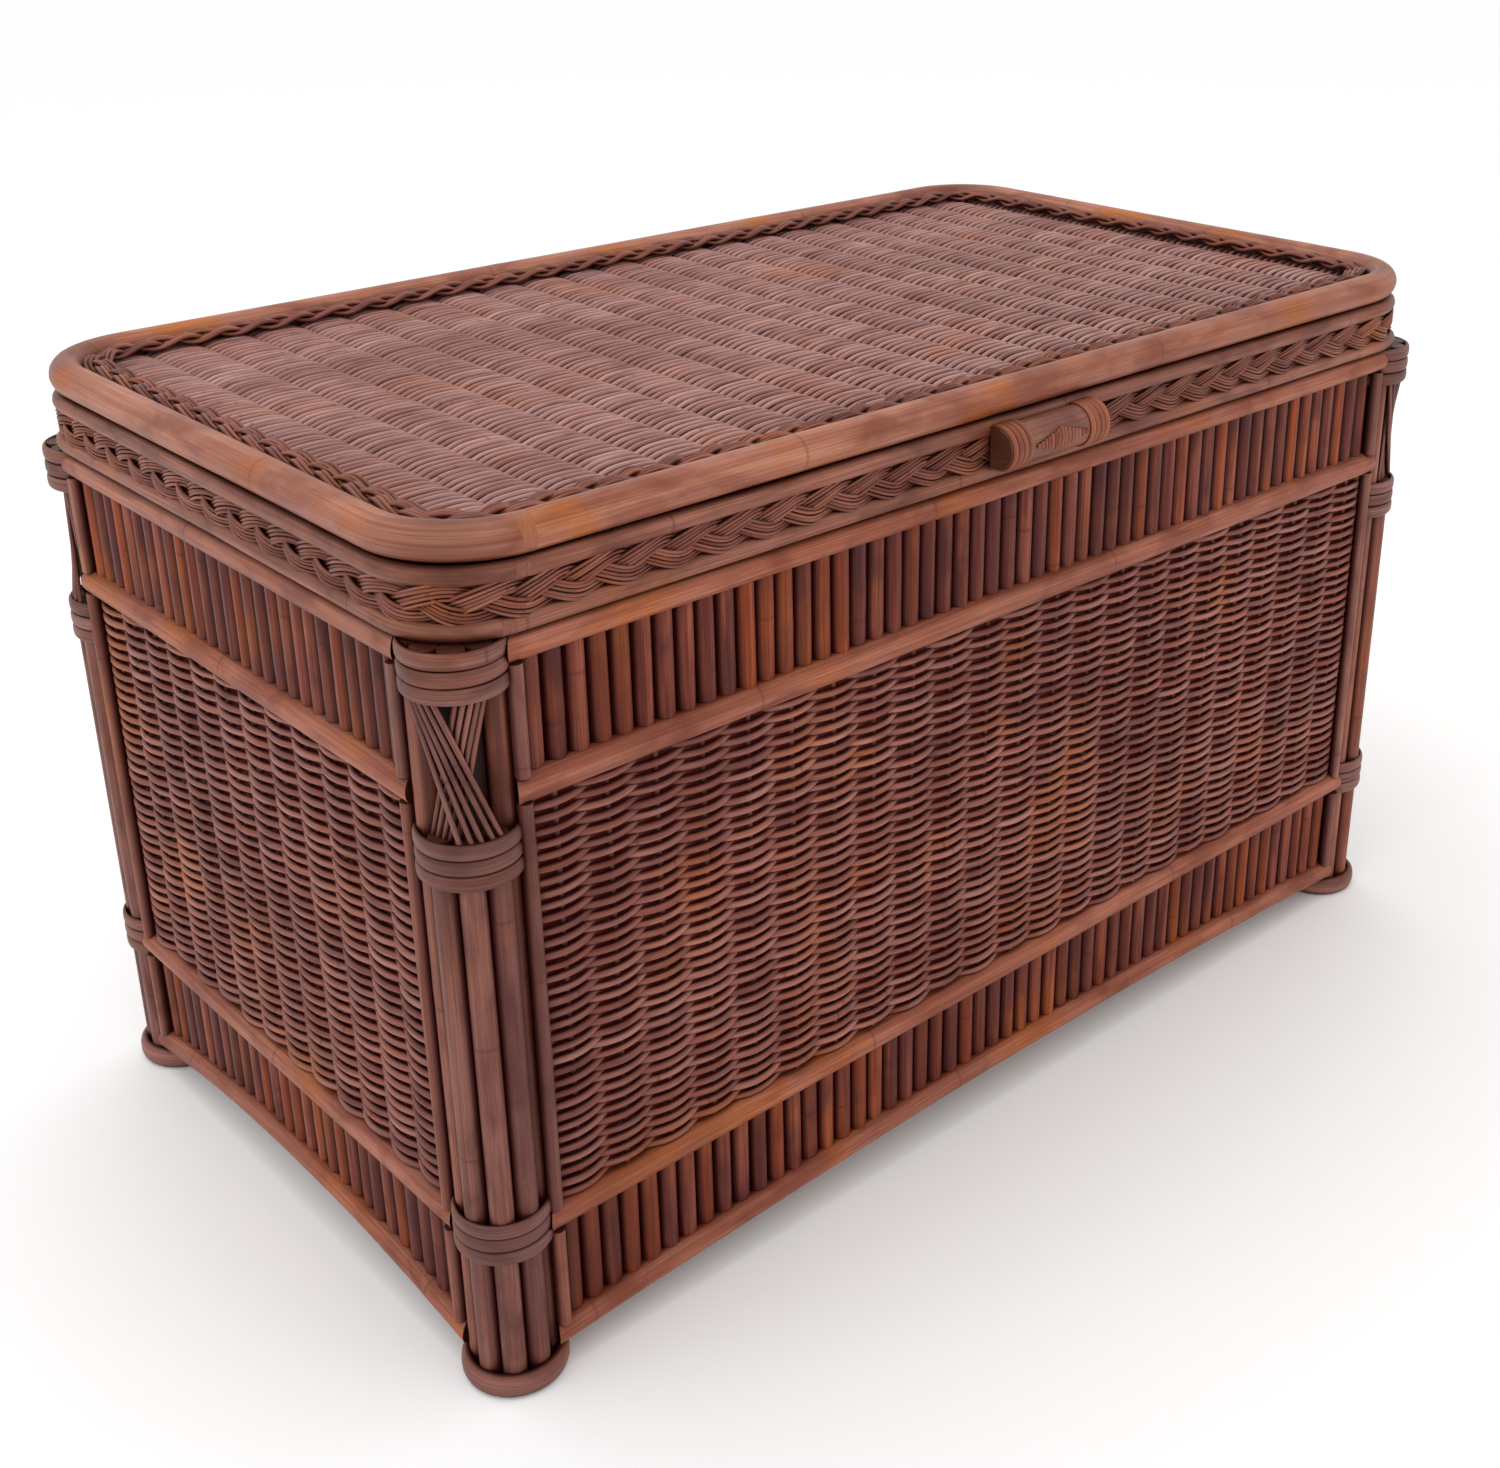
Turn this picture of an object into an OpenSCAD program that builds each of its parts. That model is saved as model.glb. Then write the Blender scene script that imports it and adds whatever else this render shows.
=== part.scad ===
// Rattan storage trunk with a hinged, woven-top lid.
//
// The body is a frame of rattan poles: four corner posts, each a bundle of thin poles bound
// with cane around a core, joined on every side by four rails. Upright reeds fill the bands
// between the outer rails, and a woven panel fills the middle one. The bottom rails are bent
// into a low arch. The lid is a stack of bent poles and a braided band around a batten frame,
// with a woven top, and turns on two butt hinges at the back.
//
// The origin is on the floor under the middle of the whole object, +X runs along the length
// and the front faces -Y.

/* [Body] */
// Length over the outer faces of the end rails
body_length = 902; // [800:1:1000]
// Depth over the outer faces of the front and back rails
body_depth = 505; // [460:1:560]
// Height of the corner posts and of the top rails' upper side
body_height = 490.5; // [470:0.5:520]
// Height of the middle of the upper rails
upper_rail_z = 399; // [392:1:405]
// Height of the middle of the lower rails
lower_rail_z = 112; // [106:1:116]
// Height of the middle of the bottom rails at their ends
bottom_rail_z = 24.5; // [24.5:0.5:27]
// Rise of the long bottom rails in the middle of their arch
long_arch_rise = 12.5; // [6:0.5:16]
// Rise of the short bottom rails in the middle of their arch
short_arch_rise = 17.5; // [8:0.5:20]
// Thickness of the top and bottom rails
outer_rail_d = 16.5; // [15:0.5:17]
// Thickness of the upper and lower rails
middle_rail_d = 18; // [16:0.5:19]
// How far the rails stop short of the corner of their faces
rail_end_inset = 43.3; // [40:0.1:46]

/* [Corner posts] */
// Distance of a post's axis from the two faces that meet at its corner
post_inset = 27; // [26:0.5:29]
// Number of poles around a post's core
post_poles = 8; // [8:1:8]
// Thickness of one pole of a post
post_pole_d = 15; // [14:0.1:15.1]
// Radius of the circle on which the poles stand
post_ring_r = 19.8; // [19.75:0.05:20.2]
// Turn of the bundle away from the corner's diagonal, in degrees
post_turn = 12; // [8:1:15]
// Thickness of the core pole
post_core_d = 24; // [20:0.5:24.4]
// Height of one turn of binding cane
binding_h = 9.6; // [8:0.1:10]
// Thickness of the binding cane
binding_t = 2.6; // [2:0.1:3]
// Height of the foot ring
foot_h = 16; // [12:0.5:16]
// Thickness of the foot ring
foot_t = 5.6; // [4:0.1:7]
// Thickness of the crossed canes
crossing_d = 3; // [2.6:0.1:3]
// Number of canes in each direction of a crossing
crossing_strands = 5; // [3:1:5]

/* [Panels] */
// Thickness of an upright reed
reed_d = 14.2; // [12:0.1:14.4]
// Depth of the reeds' middle behind the rails' faces
reed_inset = 13; // [12:0.5:15]
// Reeds in each band of a long side
long_reeds = 53; // [40:1:53]
// Reeds in each band of a short side
short_reeds = 27; // [20:1:27]
// Clear distance from the corner of a face to the middle of the first reed
reed_margin = 61.5; // [61.5:0.5:70]
// Thickness of the thin stile beside a woven panel
stile_d = 9; // [7:0.5:9]
// Distance of a stile's middle from the corner of its face
stile_inset = 49.5; // [49.5:0.5:52]
// Thickness of the weave between its stakes
weave_t = 6; // [5:0.5:8]
// Thickness of the weave where it passes over a stake
weave_rib_d = 10; // [9:0.5:12]
// Depth of the weave's middle behind the rails' faces
weave_inset = 9.5; // [9:0.5:11]
// Stakes in a long woven panel
long_stakes = 23; // [18:1:26]
// Stakes in a short woven panel
short_stakes = 12; // [9:1:14]

/* [Base] */
// Height of the bottom board's underside
board_z = 46; // [44:1:60]
// Thickness of the bottom board
board_t = 6; // [4:1:9]
// Width of the bottom battens
batten_w = 20; // [16:1:24]
// Height of the bottom battens
batten_h = 16; // [12:1:16]

/* [Lid] */
// Gap between the body and the closed lid
lid_gap = 0.3; // [0.3:0.1:1]
// Thickness of the lid's bottom pole
lid_bottom_d = 10.5; // [9:0.5:11]
// Height of the braided band
band_h = 18.2; // [16:0.2:20]
// Thickness of the braided band
band_t = 8; // [6:0.5:9]
// Thickness of the lid's second pole
lid_second_d = 11.5; // [10:0.5:12]
// Thickness of the lid's top pole
lid_top_d = 22; // [20:0.5:22]
// How far the top pole overhangs the body's rails
lid_overhang = 2; // [1:0.5:3]
// Outer corner radius of the top pole
lid_corner_r = 68; // [66:1:72]
// Outer corner radius of the bottom pole
lid_bottom_corner_r = 51; // [50:1:56]
// Height of the woven top's surface between its stakes
top_weave_t = 9.7; // [8:0.1:10]
// Stakes under the woven top
top_stakes = 22; // [18:1:26]
// Width of the plaited border
border_w = 17; // [14:0.5:19]
// Height of the plaited border
border_h = 12.3; // [8:0.1:12.3]
// Thickness of the lid's frame battens
lid_frame_w = 18; // [16:1:22]
// Number of cross bars under the woven top
cross_bars = 3; // [2:1:5]

/* [Handle] */
// Length of the handle
handle_length = 94; // [80:1:110]
// Thickness of the handle's pole
handle_d = 27; // [25:0.5:30]
// How far the handle's front stands out from the lid
handle_depth = 18.6; // [17:0.2:21]
// Turns of cane at each end of the handle
handle_turns = 4; // [3:1:4]
// Width of one turn of cane
handle_turn_w = 4.6; // [4:0.1:5]
// Thickness of the handle's cane
handle_cane_t = 1.6; // [1.2:0.1:2]
// Length of the lozenge lashing in the middle
lashing_length = 48; // [40:1:50]

/* [Hinges] */
// Distance of each hinge from the middle of the trunk
hinge_x = 250; // [200:5:280]
// Length of a hinge
hinge_length = 60; // [50:1:70]
// Radius of the hinge barrel
barrel_r = 3; // [2.6:0.1:3.2]
// Thickness of a leaf
leaf_t = 1.6; // [1.2:0.1:1.8]
// Thickness of the hinge pin
pin_d = 3; // [2.6:0.1:3]
// Diameter of a screw head
screw_head_d = 6.4; // [5:0.1:7]
// Diameter of a screw shank
screw_d = 3.2; // [2.5:0.1:3.5]

/* [Hidden] */
$fn = 48;
sides = ["front", "back", "left", "right"];
corners = ["front_left", "front_right", "back_left", "back_right"];

// Clearances, from a close fit to a loose one
fit = 0.05;
snug = 0.1;
easy = 0.2;
loose = 0.3;

// Rails
rail_top_z = body_height - outer_rail_d / 2;
body_half_length = body_length / 2;
body_half_depth = body_depth / 2;

// Corner posts
post_r = post_ring_r + post_pole_d / 2;
bound_post_r = post_r + fit + binding_t;
binding_pitch = binding_h + snug;
binding_turns = 3;
top_binding_z = body_height - binding_turns * binding_pitch;
middle_binding_z = 352;
lower_binding_z = lower_rail_z - 12.5;
cut_poles = [-1, 0, 1];
crossing_low = middle_binding_z + binding_turns * binding_pitch;
crossing_high = top_binding_z;
cut_tuck = 1;
post_reach = bound_post_r + snug;
// The two fans of crossed canes, the outer one first: the radius on which the canes end, then
// the first angle and the step at the top, and the first angle and the step at the bottom
outer_fan_r = post_r - crossing_d / 2 - easy;
inner_fan_r = outer_fan_r - 5;
crossing_fans = [[outer_fan_r, -57, 10.5, 3, 13], [inner_fan_r, 60, -11.5, -2, -11.5]];

// Panels
panel_low = lower_rail_z + middle_rail_d / 2 + fit;
panel_high = upper_rail_z - middle_rail_d / 2 - fit;
reed_r = reed_d / 2;

// Lid levels, from the bottom up
lid_z = body_height + lid_gap;
band_z = lid_z + lid_bottom_d + easy;
second_z = band_z + band_h + snug;
top_pole_z = second_z + lid_second_d + easy;
frame_z = lid_z + 2 * easy;
frame_h = second_z - 2 * loose - frame_z;
bar_z = frame_z + frame_h + snug;
bar_h = top_pole_z - loose - bar_z;
weave_z = top_pole_z - easy;
weave_top = weave_z + top_weave_t;
second_overhang = 1;
second_corner_r = 62;
band_corner_r = 57;

// Hinges: the leaves lie flat against the back, and the barrel stands behind them
leaf_y = body_half_depth + snug;
hinge_y = leaf_y + barrel_r;
hinge_z = body_height + lid_gap / 2;
leaf_h = 20;
knuckles = 5;
knuckle_gap = loose;
knuckle_pitch = hinge_length / knuckles;
knuckle_notch = barrel_r + loose;
// The pin is tight in the body's knuckles and turns in the lid's
body_bore_r = pin_d / 2 + 0.02;
lid_bore_r = pin_d / 2 + 0.06;
screw_columns = [-1, 0, 1];
screw_pitch = 21;
head_h = 1.5;
body_screw_z = rail_top_z - 1;
lid_screw_z = band_z + 7;
body_screw_length = 13;
lid_screw_length = 21;

// Handle
handle_back = body_half_depth + second_overhang + snug;
handle_front = handle_back + handle_depth;
handle_y = handle_front - handle_d / 2;
handle_z = band_z + 12.8;
handle_r = handle_d / 2;

// The whole object is centred on the origin, the handle and the hinge barrels included
front_reach = handle_front + fit + handle_cane_t;
back_reach = max(hinge_y + barrel_r, body_half_depth - post_inset + post_r + fit + foot_t);
centre_shift = (front_reach - back_reach) / 2;

// ---- Places ----

function is_long(side) = side == "front" || side == "back";
function face(side) = is_long(side) ? body_half_depth : body_half_length;
function span(side) = is_long(side) ? body_half_length : body_half_depth;
function side_turn(side) = side == "front" ? 0 : side == "right" ? 90 : side == "back" ? 180 : 270;
function corner_x(c) = (c == "front_left" || c == "back_left" ? -1 : 1) * (body_half_length - post_inset);
function corner_y(c) = (c == "front_left" || c == "front_right" ? -1 : 1) * (body_half_depth - post_inset);
function corner_turn(c) = c == "front_left" ? 225 : c == "front_right" ? 315 : c == "back_right" ? 45 : 135;
function arch_rise(side) = is_long(side) ? long_arch_rise : short_arch_rise;
function arc_radius(half_chord, rise) = (half_chord * half_chord + rise * rise) / (2 * rise);
function spread(count, half_width) = [for (i = [0 : count - 1]) -half_width + 2 * half_width * i / (count - 1)];
function centred_spread(count, half_width) = [for (i = [0 : count - 1]) half_width * (2 * i + 1 - count) / count];

// Moves the trunk so that the middle of its outline stands on the origin
module centred() {
  translate([0, centre_shift, 0]) children();
}

// Draws one side as if it were the front, which faces -Y
module on_side(side) {
  centred() rotate([0, 0, side_turn(side)]) children();
}

// Draws one corner with its outward diagonal along +X
module at_corner(c) {
  centred() translate([corner_x(c), corner_y(c), 0]) rotate([0, 0, corner_turn(c)]) children();
}

// The space that the two posts at the ends of a side take up
module post_space(side, radius) {
  for (end = [-1, 1]) {
    translate([end * (span(side) - post_inset), post_inset - face(side), -1])
      cylinder(r = radius, h = body_height + 2);
  }
}

// A round bar between two points
module bar(from, to, d) {
  run = to - from;
  length = norm(run);
  translate(from)
    rotate([0, acos(run[2] / length), atan2(run[1], run[0])])
      cylinder(d = d, h = length);
}

// ---- Corner posts ----

// One band of cane around a post: flat inside, crowned outside
module cane_ring(inner_r, thickness, height, crown) {
  crown_r = (height * height / 4 + crown * crown) / (2 * crown);
  rotate_extrude() intersection() {
    translate([inner_r, 0]) square([thickness, height]);
    translate([inner_r + thickness - crown_r, height / 2]) circle(r = crown_r, $fn = 96);
  }
}

module post_poles(corner) {
  color("#8a4a30") at_corner(corner) for (i = [0 : post_poles - 1]) {
    place = i < post_poles / 2 ? i : i - post_poles;
    rotate([0, 0, post_turn + place * 360 / post_poles]) translate([post_ring_r, 0, 0]) {
      if (len(search(place, cut_poles)) > 0) {
        cylinder(d = post_pole_d, h = crossing_low - cut_tuck);
        translate([0, 0, crossing_high + cut_tuck])
          cylinder(d = post_pole_d, h = body_height - crossing_high - cut_tuck);
      } else {
        cylinder(d = post_pole_d, h = body_height);
      }
    }
  }
}

module post_bindings(corner) {
  color("#9c5b3c") at_corner(corner) for (z = [lower_binding_z, middle_binding_z, top_binding_z]) {
    for (turn = [0 : binding_turns - 1]) {
      translate([0, 0, z + turn * binding_pitch])
        cane_ring(post_r + fit, binding_t, binding_h, binding_t / 2);
    }
  }
}

module post_cores() {
  color("#4a241a") for (c = corners) at_corner(c) cylinder(d = post_core_d, h = body_height - 1);
}

// Two fans of thin cane crossed over the gap where the outer poles stop
module post_crossings() {
  color("#9c5b3c") for (c = corners) at_corner(c) for (fan = crossing_fans, i = [0 : crossing_strands - 1]) {
    r = fan[0];
    high = fan[1] + fan[2] * i;
    low = fan[3] + fan[4] * i;
    bar([r * cos(low), r * sin(low), crossing_low + fit],
        [r * cos(high), r * sin(high), crossing_high - fit], crossing_d);
  }
}

module foot_rings() {
  color("#7c4430") for (c = corners) at_corner(c) cane_ring(post_r + fit, foot_t, foot_h, foot_t * 0.6);
}

// ---- Rails ----

// A straight pole, coped at both ends where it meets the posts
module straight_rail(side, z, d, cope_r) {
  difference() {
    translate([0, d / 2 - face(side), z])
      rotate([0, 90, 0])
        cylinder(d = d, h = 2 * (span(side) - rail_end_inset), center = true);
    post_space(side, cope_r);
  }
}

module top_rail(side) {
  color("#a3603c") on_side(side) difference() {
    straight_rail(side, rail_top_z, outer_rail_d, post_reach);
    if (side == "back") {
      rotate([0, 0, 180]) hinge_screw_places(body_screw_z) screw_shank(body_screw_length, fit);
    }
  }
}

module upper_rail(side) {
  color("#a3603c") on_side(side) straight_rail(side, upper_rail_z, middle_rail_d, post_r + fit);
}

module lower_rail(side) {
  color("#a3603c") on_side(side) straight_rail(side, lower_rail_z, middle_rail_d, post_reach);
}

// A pole bent into a low arch, with its ends just above the foot rings
module bottom_rail(side) {
  half = span(side) - rail_end_inset;
  bend_r = arc_radius(half, arch_rise(side));
  half_angle = asin(half / bend_r);
  color("#a3603c") on_side(side) difference() {
    translate([0, outer_rail_d / 2 - face(side), bottom_rail_z + arch_rise(side) - bend_r])
      rotate([90, 0, 0])
        rotate([0, 0, 90 - half_angle])
          rotate_extrude(angle = 2 * half_angle, $fn = 720)
            translate([bend_r, 0]) circle(d = outer_rail_d, $fn = 48);
    post_space(side, post_r + fit);
  }
}

// ---- Panels ----

// Height of the bottom rail's upper side at a distance from the middle of its face
function arch_top(side, x) =
  let (bend_r = arc_radius(span(side) - rail_end_inset, arch_rise(side)))
  bottom_rail_z + arch_rise(side) - bend_r + sqrt(bend_r * bend_r - x * x) + outer_rail_d / 2;

function reed_places(side) =
  spread(is_long(side) ? long_reeds : short_reeds, span(side) - reed_margin);

module upper_reeds(side) {
  low = upper_rail_z + middle_rail_d / 2 + fit;
  high = rail_top_z - outer_rail_d / 2 - fit;
  color("#6e3626") on_side(side) for (x = reed_places(side)) {
    translate([x, reed_inset - face(side), low]) cylinder(d = reed_d, h = high - low);
  }
}

// The reeds of the lower band follow the arch of the bottom rail
module lower_reeds(side) {
  high = lower_rail_z - middle_rail_d / 2 - fit;
  color("#6e3626") on_side(side) for (x = reed_places(side)) {
    low = arch_top(side, max(abs(x) - reed_r, 0)) + fit;
    translate([x, reed_inset - face(side), low]) cylinder(d = reed_d, h = high - low);
  }
}

// Outer shape of a weave: thin between its stakes, and full where it passes over them
module woven_panel(side) {
  half = span(side) - stile_inset - stile_d / 2 - fit;
  stakes = is_long(side) ? long_stakes : short_stakes;
  color("#6b3327") on_side(side) translate([0, weave_inset - face(side), panel_low]) {
    translate([-half, -weave_t / 2, 0]) cube([2 * half, weave_t, panel_high - panel_low]);
    for (x = centred_spread(stakes, half)) {
      translate([x, 0, 0]) cylinder(d = weave_rib_d, h = panel_high - panel_low);
    }
  }
}

// Thin stiles beside the posts, in lengths between the rails. Each run is its low and its high end.
module stiles(side, runs) {
  on_side(side) difference() {
    for (end = [-1, 1], run = runs) {
      translate([end * (span(side) - stile_inset), stile_d / 2 - face(side), run[0]])
        cylinder(d = stile_d, h = run[1] - run[0]);
    }
    post_space(side, post_reach);
  }
}

module panel_stiles() {
  color("#8a4a30") for (side = sides) stiles(side, [[panel_low, panel_high]]);
}

module reed_stiles() {
  upper_low = upper_rail_z + middle_rail_d / 2 + fit;
  upper_high = rail_top_z - outer_rail_d / 2 - fit;
  lower_high = lower_rail_z - middle_rail_d / 2 - fit;
  color("#7c4230") for (side = sides) {
    lower_low = arch_top(side, span(side) - stile_inset - stile_d / 2) + fit;
    stiles(side, [[upper_low, upper_high], [lower_low, lower_high]]);
  }
}

// ---- Base ----

reed_back = reed_inset + reed_r + 2 * easy;
base_half_length = body_half_length - reed_back;
base_half_depth = body_half_depth - reed_back;
batten_z = board_z - batten_h - fit;
batten_end_gap = post_r + 1;

// A board notched around the four posts
module bottom_board() {
  color("#b98d5c") difference() {
    centred() translate([-base_half_length, -base_half_depth, board_z])
      cube([2 * base_half_length, 2 * base_half_depth, board_t]);
    for (c = corners) at_corner(c) cylinder(r = post_r + 0.7, h = body_height);
  }
}

// Four battens between the posts, inside the lower reeds
module bottom_frame() {
  color("#a87c50") centred() {
    for (y = [-base_half_depth, base_half_depth - batten_w]) {
      half = body_half_length - post_inset - batten_end_gap;
      translate([-half, y, batten_z]) cube([2 * half, batten_w, batten_h]);
    }
    for (x = [-base_half_length, base_half_length - batten_w]) {
      half = body_half_depth - post_inset - batten_end_gap;
      translate([x, -half, batten_z]) cube([batten_w, 2 * half, batten_h]);
    }
  }
}

module bottom_cross_bars() {
  half = base_half_depth - batten_w - fit;
  color("#a87c50") centred() for (x = centred_spread(cross_bars, base_half_length)) {
    translate([x - batten_w / 2, -half, batten_z]) cube([batten_w, 2 * half, batten_h]);
  }
}

// ---- Lid ----

// Sweeps a profile around a rounded rectangle. The profile's x is outward and its y is up.
module around(half_x, half_y, corner_r) {
  for (turn = [0 : 3]) {
    along = turn % 2 == 0 ? half_y : half_x;
    out = turn % 2 == 0 ? half_x : half_y;
    rotate([0, 0, 90 * turn]) {
      translate([out, along - corner_r, 0])
        rotate([90, 0, 0])
          linear_extrude(height = 2 * (along - corner_r)) children();
      translate([out - corner_r, along - corner_r, 0])
        rotate_extrude(angle = 90) translate([corner_r, 0]) children();
    }
  }
}

// A pole bent around the lid: its outer side overhangs the body's rails
module bent_pole(overhang, outer_corner_r, d, z) {
  inset = d / 2 - overhang;
  centred() translate([0, 0, z + d / 2])
    around(body_half_length - inset, body_half_depth - inset, outer_corner_r - d / 2) circle(d = d);
}

// A rounded rectangular plate
module rounded_plate(half_x, half_y, corner_r, height) {
  linear_extrude(height = height) {
    square([2 * (half_x - corner_r), 2 * half_y], center = true);
    square([2 * half_x, 2 * (half_y - corner_r)], center = true);
    for (x = [-1, 1], y = [-1, 1]) {
      translate([x * (half_x - corner_r), y * (half_y - corner_r)]) circle(r = corner_r);
    }
  }
}

module lid_bottom_pole() {
  color("#94553a") bent_pole(0, lid_bottom_corner_r, lid_bottom_d, lid_z);
}

// The band of braided cane between the poles
module lid_braided_band() {
  color("#7d412d") difference() {
    centred() translate([0, 0, band_z]) difference() {
      rounded_plate(body_half_length, body_half_depth, band_corner_r, band_h);
      translate([0, 0, -1])
        rounded_plate(body_half_length - band_t, body_half_depth - band_t, band_corner_r - band_t, band_h + 2);
    }
    centred() hinge_screw_places(lid_screw_z) screw_shank(lid_screw_length, fit);
  }
}

module lid_second_pole() {
  color("#94553a") bent_pole(second_overhang, second_corner_r, lid_second_d, second_z);
}

module lid_top_pole() {
  color("#b87440") bent_pole(lid_overhang, lid_corner_r, lid_top_d, top_pole_z);
}

frame_half_length = body_half_length - lid_bottom_d - easy;
frame_half_depth = body_half_depth - lid_bottom_d - easy;
frame_corner_r = lid_bottom_corner_r - lid_bottom_d - easy;

// Four battens inside the poles, which the poles, the band and the hinges are fixed to
module lid_frame() {
  color("#a87c50") difference() {
    centred() translate([0, 0, frame_z]) difference() {
      rounded_plate(frame_half_length, frame_half_depth, frame_corner_r, frame_h);
      translate([0, 0, frame_h / 2])
        cube([2 * (frame_half_length - lid_frame_w), 2 * (frame_half_depth - lid_frame_w), frame_h + 2],
             center = true);
      for (end = [-1, 1]) {
        translate([end * (frame_half_length - lid_frame_w), 0, frame_h / 2])
          cube([0.2, 2 * frame_half_depth + 2, frame_h + 2], center = true);
      }
    }
    centred() hinge_screw_places(lid_screw_z) screw_shank(lid_screw_length, fit);
  }
}

module lid_cross_bars() {
  half = frame_half_depth - 1;
  color("#a87c50") centred() for (x = centred_spread(cross_bars, frame_half_length)) {
    translate([x - batten_w / 2, -half, bar_z]) cube([batten_w, 2 * half, bar_h]);
  }
}

// The woven top lies inside the top pole, a little clear of it
weave_edge = lid_top_d - lid_overhang + loose;
weave_corner_r = lid_corner_r - lid_top_d - loose;
// Each stake lifts the weave in a low rib that stops short of the plaited border
rib_d = 7;
rib_sink = 1.2;
rib_end_gap = 6;
rib_side_gap = 1;

// The woven top: its stakes run from front to back
module lid_woven_top() {
  half_x = body_half_length - weave_edge;
  half_y = body_half_depth - weave_edge;
  rib_half = half_y - border_w - rib_end_gap;
  color("#86503c") centred() {
    translate([0, 0, weave_z]) rounded_plate(half_x, half_y, weave_corner_r, top_weave_t);
    for (x = centred_spread(top_stakes, half_x - border_w - rib_side_gap)) {
      translate([x, rib_half, weave_top - rib_sink])
        rotate([90, 0, 0]) cylinder(d = rib_d, h = 2 * rib_half);
    }
  }
}

// The plait that covers the edge of the woven top
module lid_plaited_border() {
  chamfer = border_h / 4;
  path_x = body_half_length - weave_edge - border_w / 2;
  path_y = body_half_depth - weave_edge - border_w / 2;
  right = border_w / 2;
  color("#8d5240") centred() translate([0, 0, weave_top + fit])
    around(path_x, path_y, weave_corner_r - border_w / 2)
      polygon([[-right, 0], [right, 0], [right, border_h - chamfer], [right - chamfer, border_h],
               [chamfer - right, border_h], [-right, border_h - chamfer]]);
}

// ---- Handle ----

// Keeps what is in front of the lid's side
module handle_front_only() {
  intersection() {
    children();
    translate([-handle_length, -handle_front - 10, handle_z - handle_d])
      cube([2 * handle_length, handle_front + 10 - handle_back, 2 * handle_d]);
  }
}

module handle_barrel(r, length) {
  translate([0, -handle_y, handle_z]) rotate([0, 90, 0]) cylinder(r = r, h = length, center = true);
}

// A thick pole with a flat back
module handle_pole() {
  color("#93543b") centred() handle_front_only() handle_barrel(handle_r, handle_length);
}

module handle_bindings() {
  pitch = handle_turn_w + snug;
  first = handle_length / 2 - handle_turn_w / 2 - 1;
  color("#a8653f") centred() for (end = [-1, 1], turn = [0 : handle_turns - 1]) {
    handle_front_only() translate([end * (first - turn * pitch), 0, 0]) difference() {
      handle_barrel(handle_r + fit + handle_cane_t, handle_turn_w);
      handle_barrel(handle_r + fit, handle_turn_w + 1);
    }
  }
}

// A lozenge of cane over the middle of the handle
module handle_lashing() {
  color("#a8653f") centred() intersection() {
    difference() {
      handle_barrel(handle_r + fit + handle_cane_t, lashing_length);
      handle_barrel(handle_r + fit, lashing_length + 1);
    }
    translate([0, -handle_y, handle_z]) rotate([90, 0, 0]) linear_extrude(height = handle_d)
      polygon([[-lashing_length / 2, 0], [0, -handle_r / 2], [lashing_length / 2, 0], [0, handle_r / 2]]);
  }
}

// ---- Hinges ----

module hinge_places() {
  for (x = [-hinge_x, hinge_x]) translate([x, 0, 0]) children();
}

module hinge_screw_places(z) {
  hinge_places() for (column = screw_columns) {
    translate([column * screw_pitch, leaf_y + leaf_t, z]) rotate([90, 0, 0]) children();
  }
}

module screw_shank(length, clearance) {
  cylinder(d = screw_d + 2 * clearance, h = length);
}

// A screw whose head stands on the back of the leaf
module screw(length) {
  translate([0, 0, -head_h]) {
    cylinder(d = screw_d, h = length + head_h);
    cylinder(d1 = screw_head_d * 0.6, d2 = screw_head_d, h = head_h - fit);
  }
}

// One leaf of a hinge with its own knuckles. up is 1 for the lid's leaf and -1 for the body's.
module hinge_leaf(up, first_knuckle, bore_r, screw_z) {
  own = [for (k = [first_knuckle : 2 : knuckles - 1]) k];
  plate_low = up > 0 ? hinge_z + knuckle_notch : hinge_z - knuckle_notch - leaf_h;
  strap_z = up > 0 ? hinge_z : hinge_z - knuckle_notch - 1;
  difference() {
    union() {
      translate([-hinge_length / 2, leaf_y, plate_low]) cube([hinge_length, leaf_t, leaf_h]);
      for (k = own) translate([-hinge_length / 2 + k * knuckle_pitch, 0, 0]) {
        width = knuckle_pitch - knuckle_gap;
        translate([0, leaf_y, strap_z]) cube([width, leaf_t, knuckle_notch + 1]);
        translate([0, hinge_y, hinge_z]) rotate([0, 90, 0]) cylinder(r = barrel_r, h = width);
      }
    }
    translate([-hinge_length, hinge_y, hinge_z]) rotate([0, 90, 0])
      cylinder(r = bore_r, h = 2 * hinge_length);
    for (column = screw_columns) {
      translate([column * screw_pitch, leaf_y + leaf_t + 1, screw_z])
        rotate([90, 0, 0]) cylinder(d = screw_d + loose, h = leaf_t + 2);
    }
  }
}

module hinge_body_leaves() {
  color("#b08d4a") centred() hinge_places() hinge_leaf(-1, 0, body_bore_r, body_screw_z);
}

module hinge_lid_leaves() {
  color("#b08d4a") centred() hinge_places() hinge_leaf(1, 1, lid_bore_r, lid_screw_z);
}

module hinge_pins() {
  color("#9a7b3f") centred() hinge_places() translate([-hinge_length / 2, hinge_y, hinge_z])
    rotate([0, 90, 0]) cylinder(d = pin_d, h = hinge_length - knuckle_gap);
}

module hinge_body_screws() {
  color("#c2a05a") centred() hinge_screw_places(body_screw_z) screw(body_screw_length);
}

module hinge_lid_screws() {
  color("#c2a05a") centred() hinge_screw_places(lid_screw_z) screw(lid_screw_length);
}

// ---- What is drawn ----

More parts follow.
